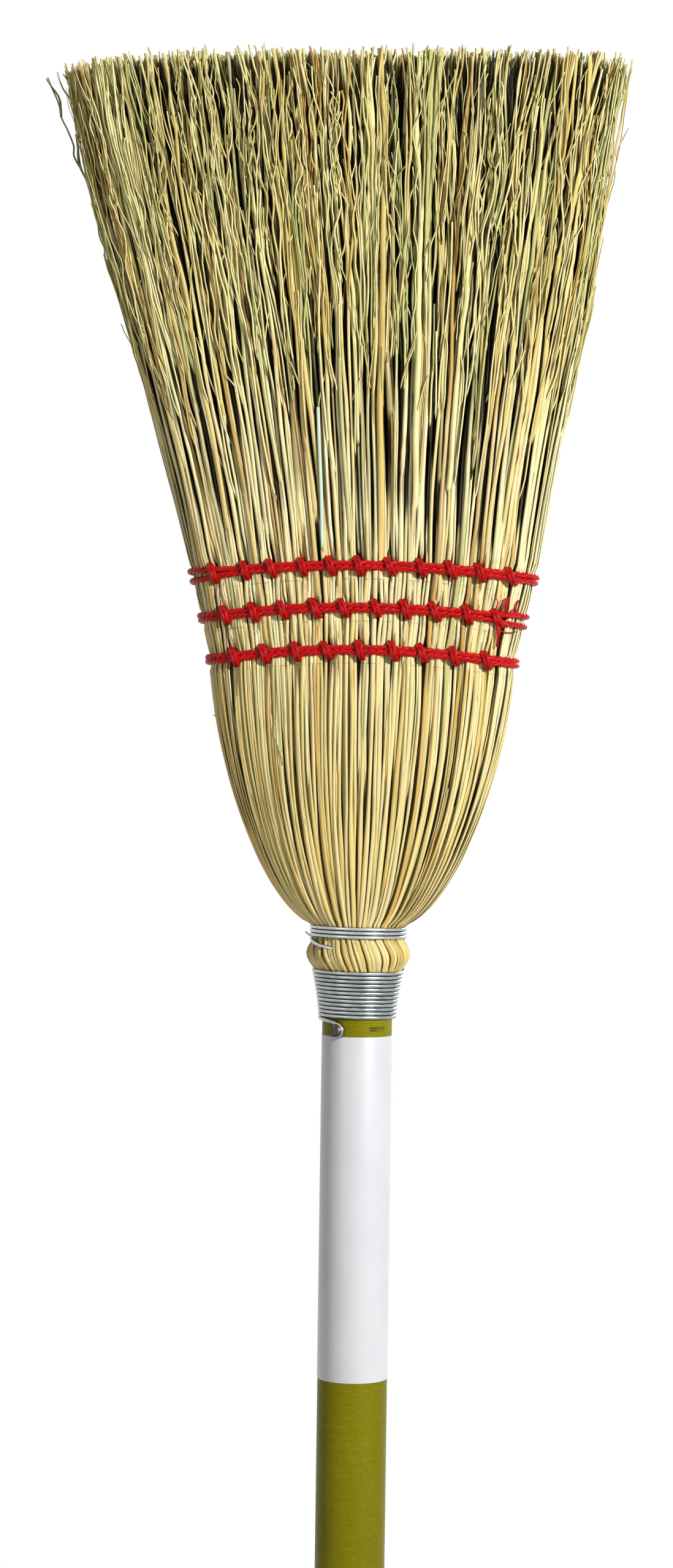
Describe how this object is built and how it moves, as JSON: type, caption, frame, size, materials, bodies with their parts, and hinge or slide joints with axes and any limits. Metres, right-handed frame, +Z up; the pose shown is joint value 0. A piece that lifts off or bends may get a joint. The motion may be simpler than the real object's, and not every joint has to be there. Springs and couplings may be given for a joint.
{
  "type": "corn broom",
  "caption": "Flat corn broom: a painted wooden handle, a wire-bound corn head with shoulders, sewn with rows of twine, and a flared skirt of strands.",
  "frame": {"origin": "centre of the flat on the handle's free end", "axes": "+Z runs up the handle to the head, +X across the flat of the head to the right as seen from the front, and the front faces -Y"},
  "size_m": [0.237, 0.061, 1.3356],
  "materials": {
    "painted_wood": "gloss olive paint",
    "label_film": "satin white film, bare",
    "rusty_steel": "dark and rusty",
    "galvanised_wire": "galvanised",
    "hurl_corn": "dry straw",
    "inside_corn": "dry straw",
    "red_twine": "glossy twisted fibre"
  },
  "bodies": {
    "root": {"handle": "painted_wood", "label_sleeve": "label_film", "anchor_nail": "rusty_steel", "lower_binding_wire": "galvanised_wire", "upper_binding_wire": "galvanised_wire", "inner_binding_wire": "galvanised_wire", "inside_corn": "inside_corn", "left_shoulder_corn": "inside_corn", "right_shoulder_corn": "inside_corn", "front_hurl_corn": "hurl_corn", "back_hurl_corn": "hurl_corn", "bottom_stitch_band": "red_twine", "middle_stitch_band": "red_twine", "top_stitch_band": "red_twine", "bottom_lock_stitches": "red_twine", "middle_lock_stitches": "red_twine", "top_lock_stitches": "red_twine"}
  },
  "joints": []
}
